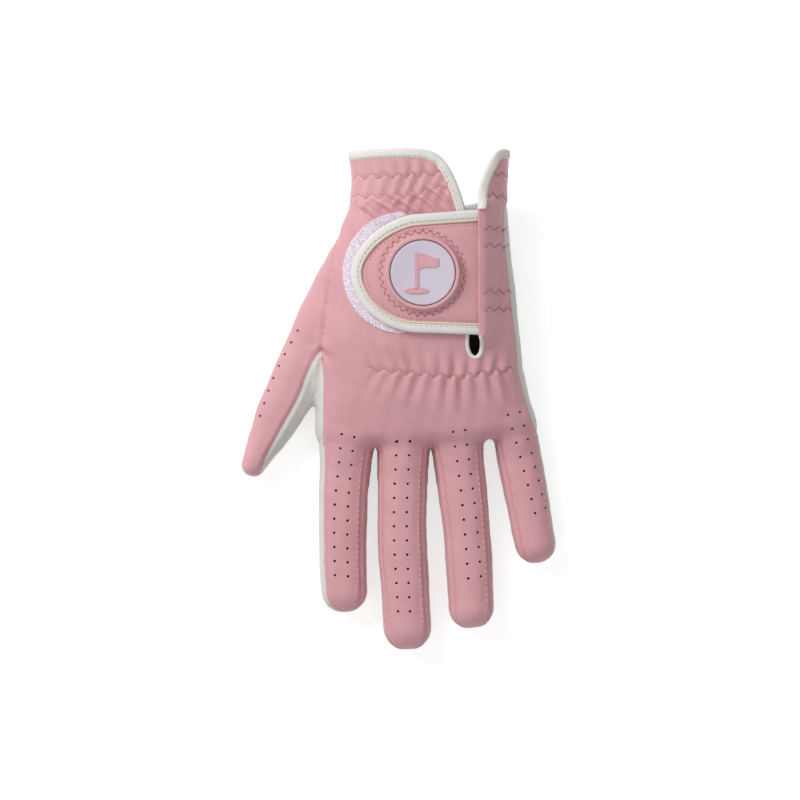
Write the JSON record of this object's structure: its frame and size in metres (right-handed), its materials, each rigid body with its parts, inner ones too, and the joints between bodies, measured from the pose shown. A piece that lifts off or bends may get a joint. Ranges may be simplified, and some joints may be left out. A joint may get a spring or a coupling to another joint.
{
  "type": "golf glove",
  "caption": "Left-hand leather golf glove with a closing tab, magnetic ball marker, elastic wrist and knuckles, and perforated fingers.",
  "frame": {"origin": "on the palm's flat underside, under the middle of the knuckles", "axes": "+X towards the little finger, +Y towards the wrist, +Z out of the back of the hand"},
  "size_m": [0.1141, 0.1867, 0.0413],
  "materials": {
    "pink_leather": "soft matt sheepskin",
    "white_leather": "soft matt sheepskin",
    "white_binding": "thin folded leather tape",
    "elastic_tape": "woven elastic",
    "loop_fabric": "brushed loop pile",
    "hook_fabric": "fine hooks",
    "lining_cloth": "plain cloth",
    "holder_rubber": "smooth silicone",
    "magnet": "nickel plated",
    "marker_enamel": "satin enamel",
    "emblem_enamel": "raised enamel"
  },
  "bodies": {
    "hand": {"back_panel": "pink_leather", "cuff_binding": "white_binding", "knuckle_elastic": "elastic_tape", "loop_patch": "loop_fabric", "palm_binding": "white_binding", "palm_panel": "white_leather", "side_fold": "pink_leather", "tab_root": "pink_leather", "wrist_elastic_little_side": "elastic_tape", "wrist_elastic_thumb_side": "elastic_tape"},
    "tab": {"tab_leather": "pink_leather", "tab_lining": "lining_cloth", "tab_binding": "white_binding", "tab_hook_patch": "hook_fabric", "marker_holder": "holder_rubber", "marker_magnet": "magnet"},
    "marker": {"marker_disc": "marker_enamel", "marker_emblem": "emblem_enamel"},
    "index": {"index_back": "pink_leather", "index_fourchette_outer": "pink_leather", "index_palm": "white_leather"},
    "middle": {"middle_back": "pink_leather", "middle_fourchette_inner": "pink_leather", "middle_fourchette_outer": "pink_leather", "middle_palm": "white_leather"},
    "ring": {"ring_back": "pink_leather", "ring_fourchette_inner": "pink_leather", "ring_fourchette_outer": "pink_leather", "ring_palm": "white_leather"},
    "little": {"little_back": "pink_leather", "little_fourchette_inner": "pink_leather", "little_palm": "white_leather"},
    "thumb": {"thumb_back": "pink_leather", "thumb_palm": "white_leather"}
  },
  "joints": [
    {"name": "tab_fold", "type": "hinge", "parent": "hand", "child": "tab", "pos_m": [0.0294, 0.04738, 0.03886], "axis": [0, 0.9984, 0.0571], "range_deg": [0, 150]},
    {"name": "marker_lift", "type": "slide", "parent": "tab", "child": "marker", "axis": [0, -0.0571, 0.9984], "range_m": [0, 0.02]},
    {"name": "index_bend", "type": "hinge", "parent": "hand", "child": "index", "pos_m": [-0.0193, -0.01666, 0], "axis": [0.9997, -0.0244, 0], "range_deg": [0, 70]},
    {"name": "middle_bend", "type": "hinge", "parent": "hand", "child": "middle", "pos_m": [0.00159, -0.01667, 0], "axis": [0.9997, 0.0244, 0], "range_deg": [0, 70]},
    {"name": "ring_bend", "type": "hinge", "parent": "hand", "child": "ring", "pos_m": [0.02196, -0.01575, 0], "axis": [0.9978, 0.0663, 0], "range_deg": [0, 70]},
    {"name": "little_bend", "type": "hinge", "parent": "hand", "child": "little", "pos_m": [0.04181, -0.01347, 0], "axis": [0.9866, 0.1633, 0], "range_deg": [0, 70]},
    {"name": "thumb_bend", "type": "hinge", "parent": "hand", "child": "thumb", "pos_m": [-0.0321, 0.0203, 0], "axis": [0.8957, -0.4446, 0], "range_deg": [0, 35]}
  ]
}
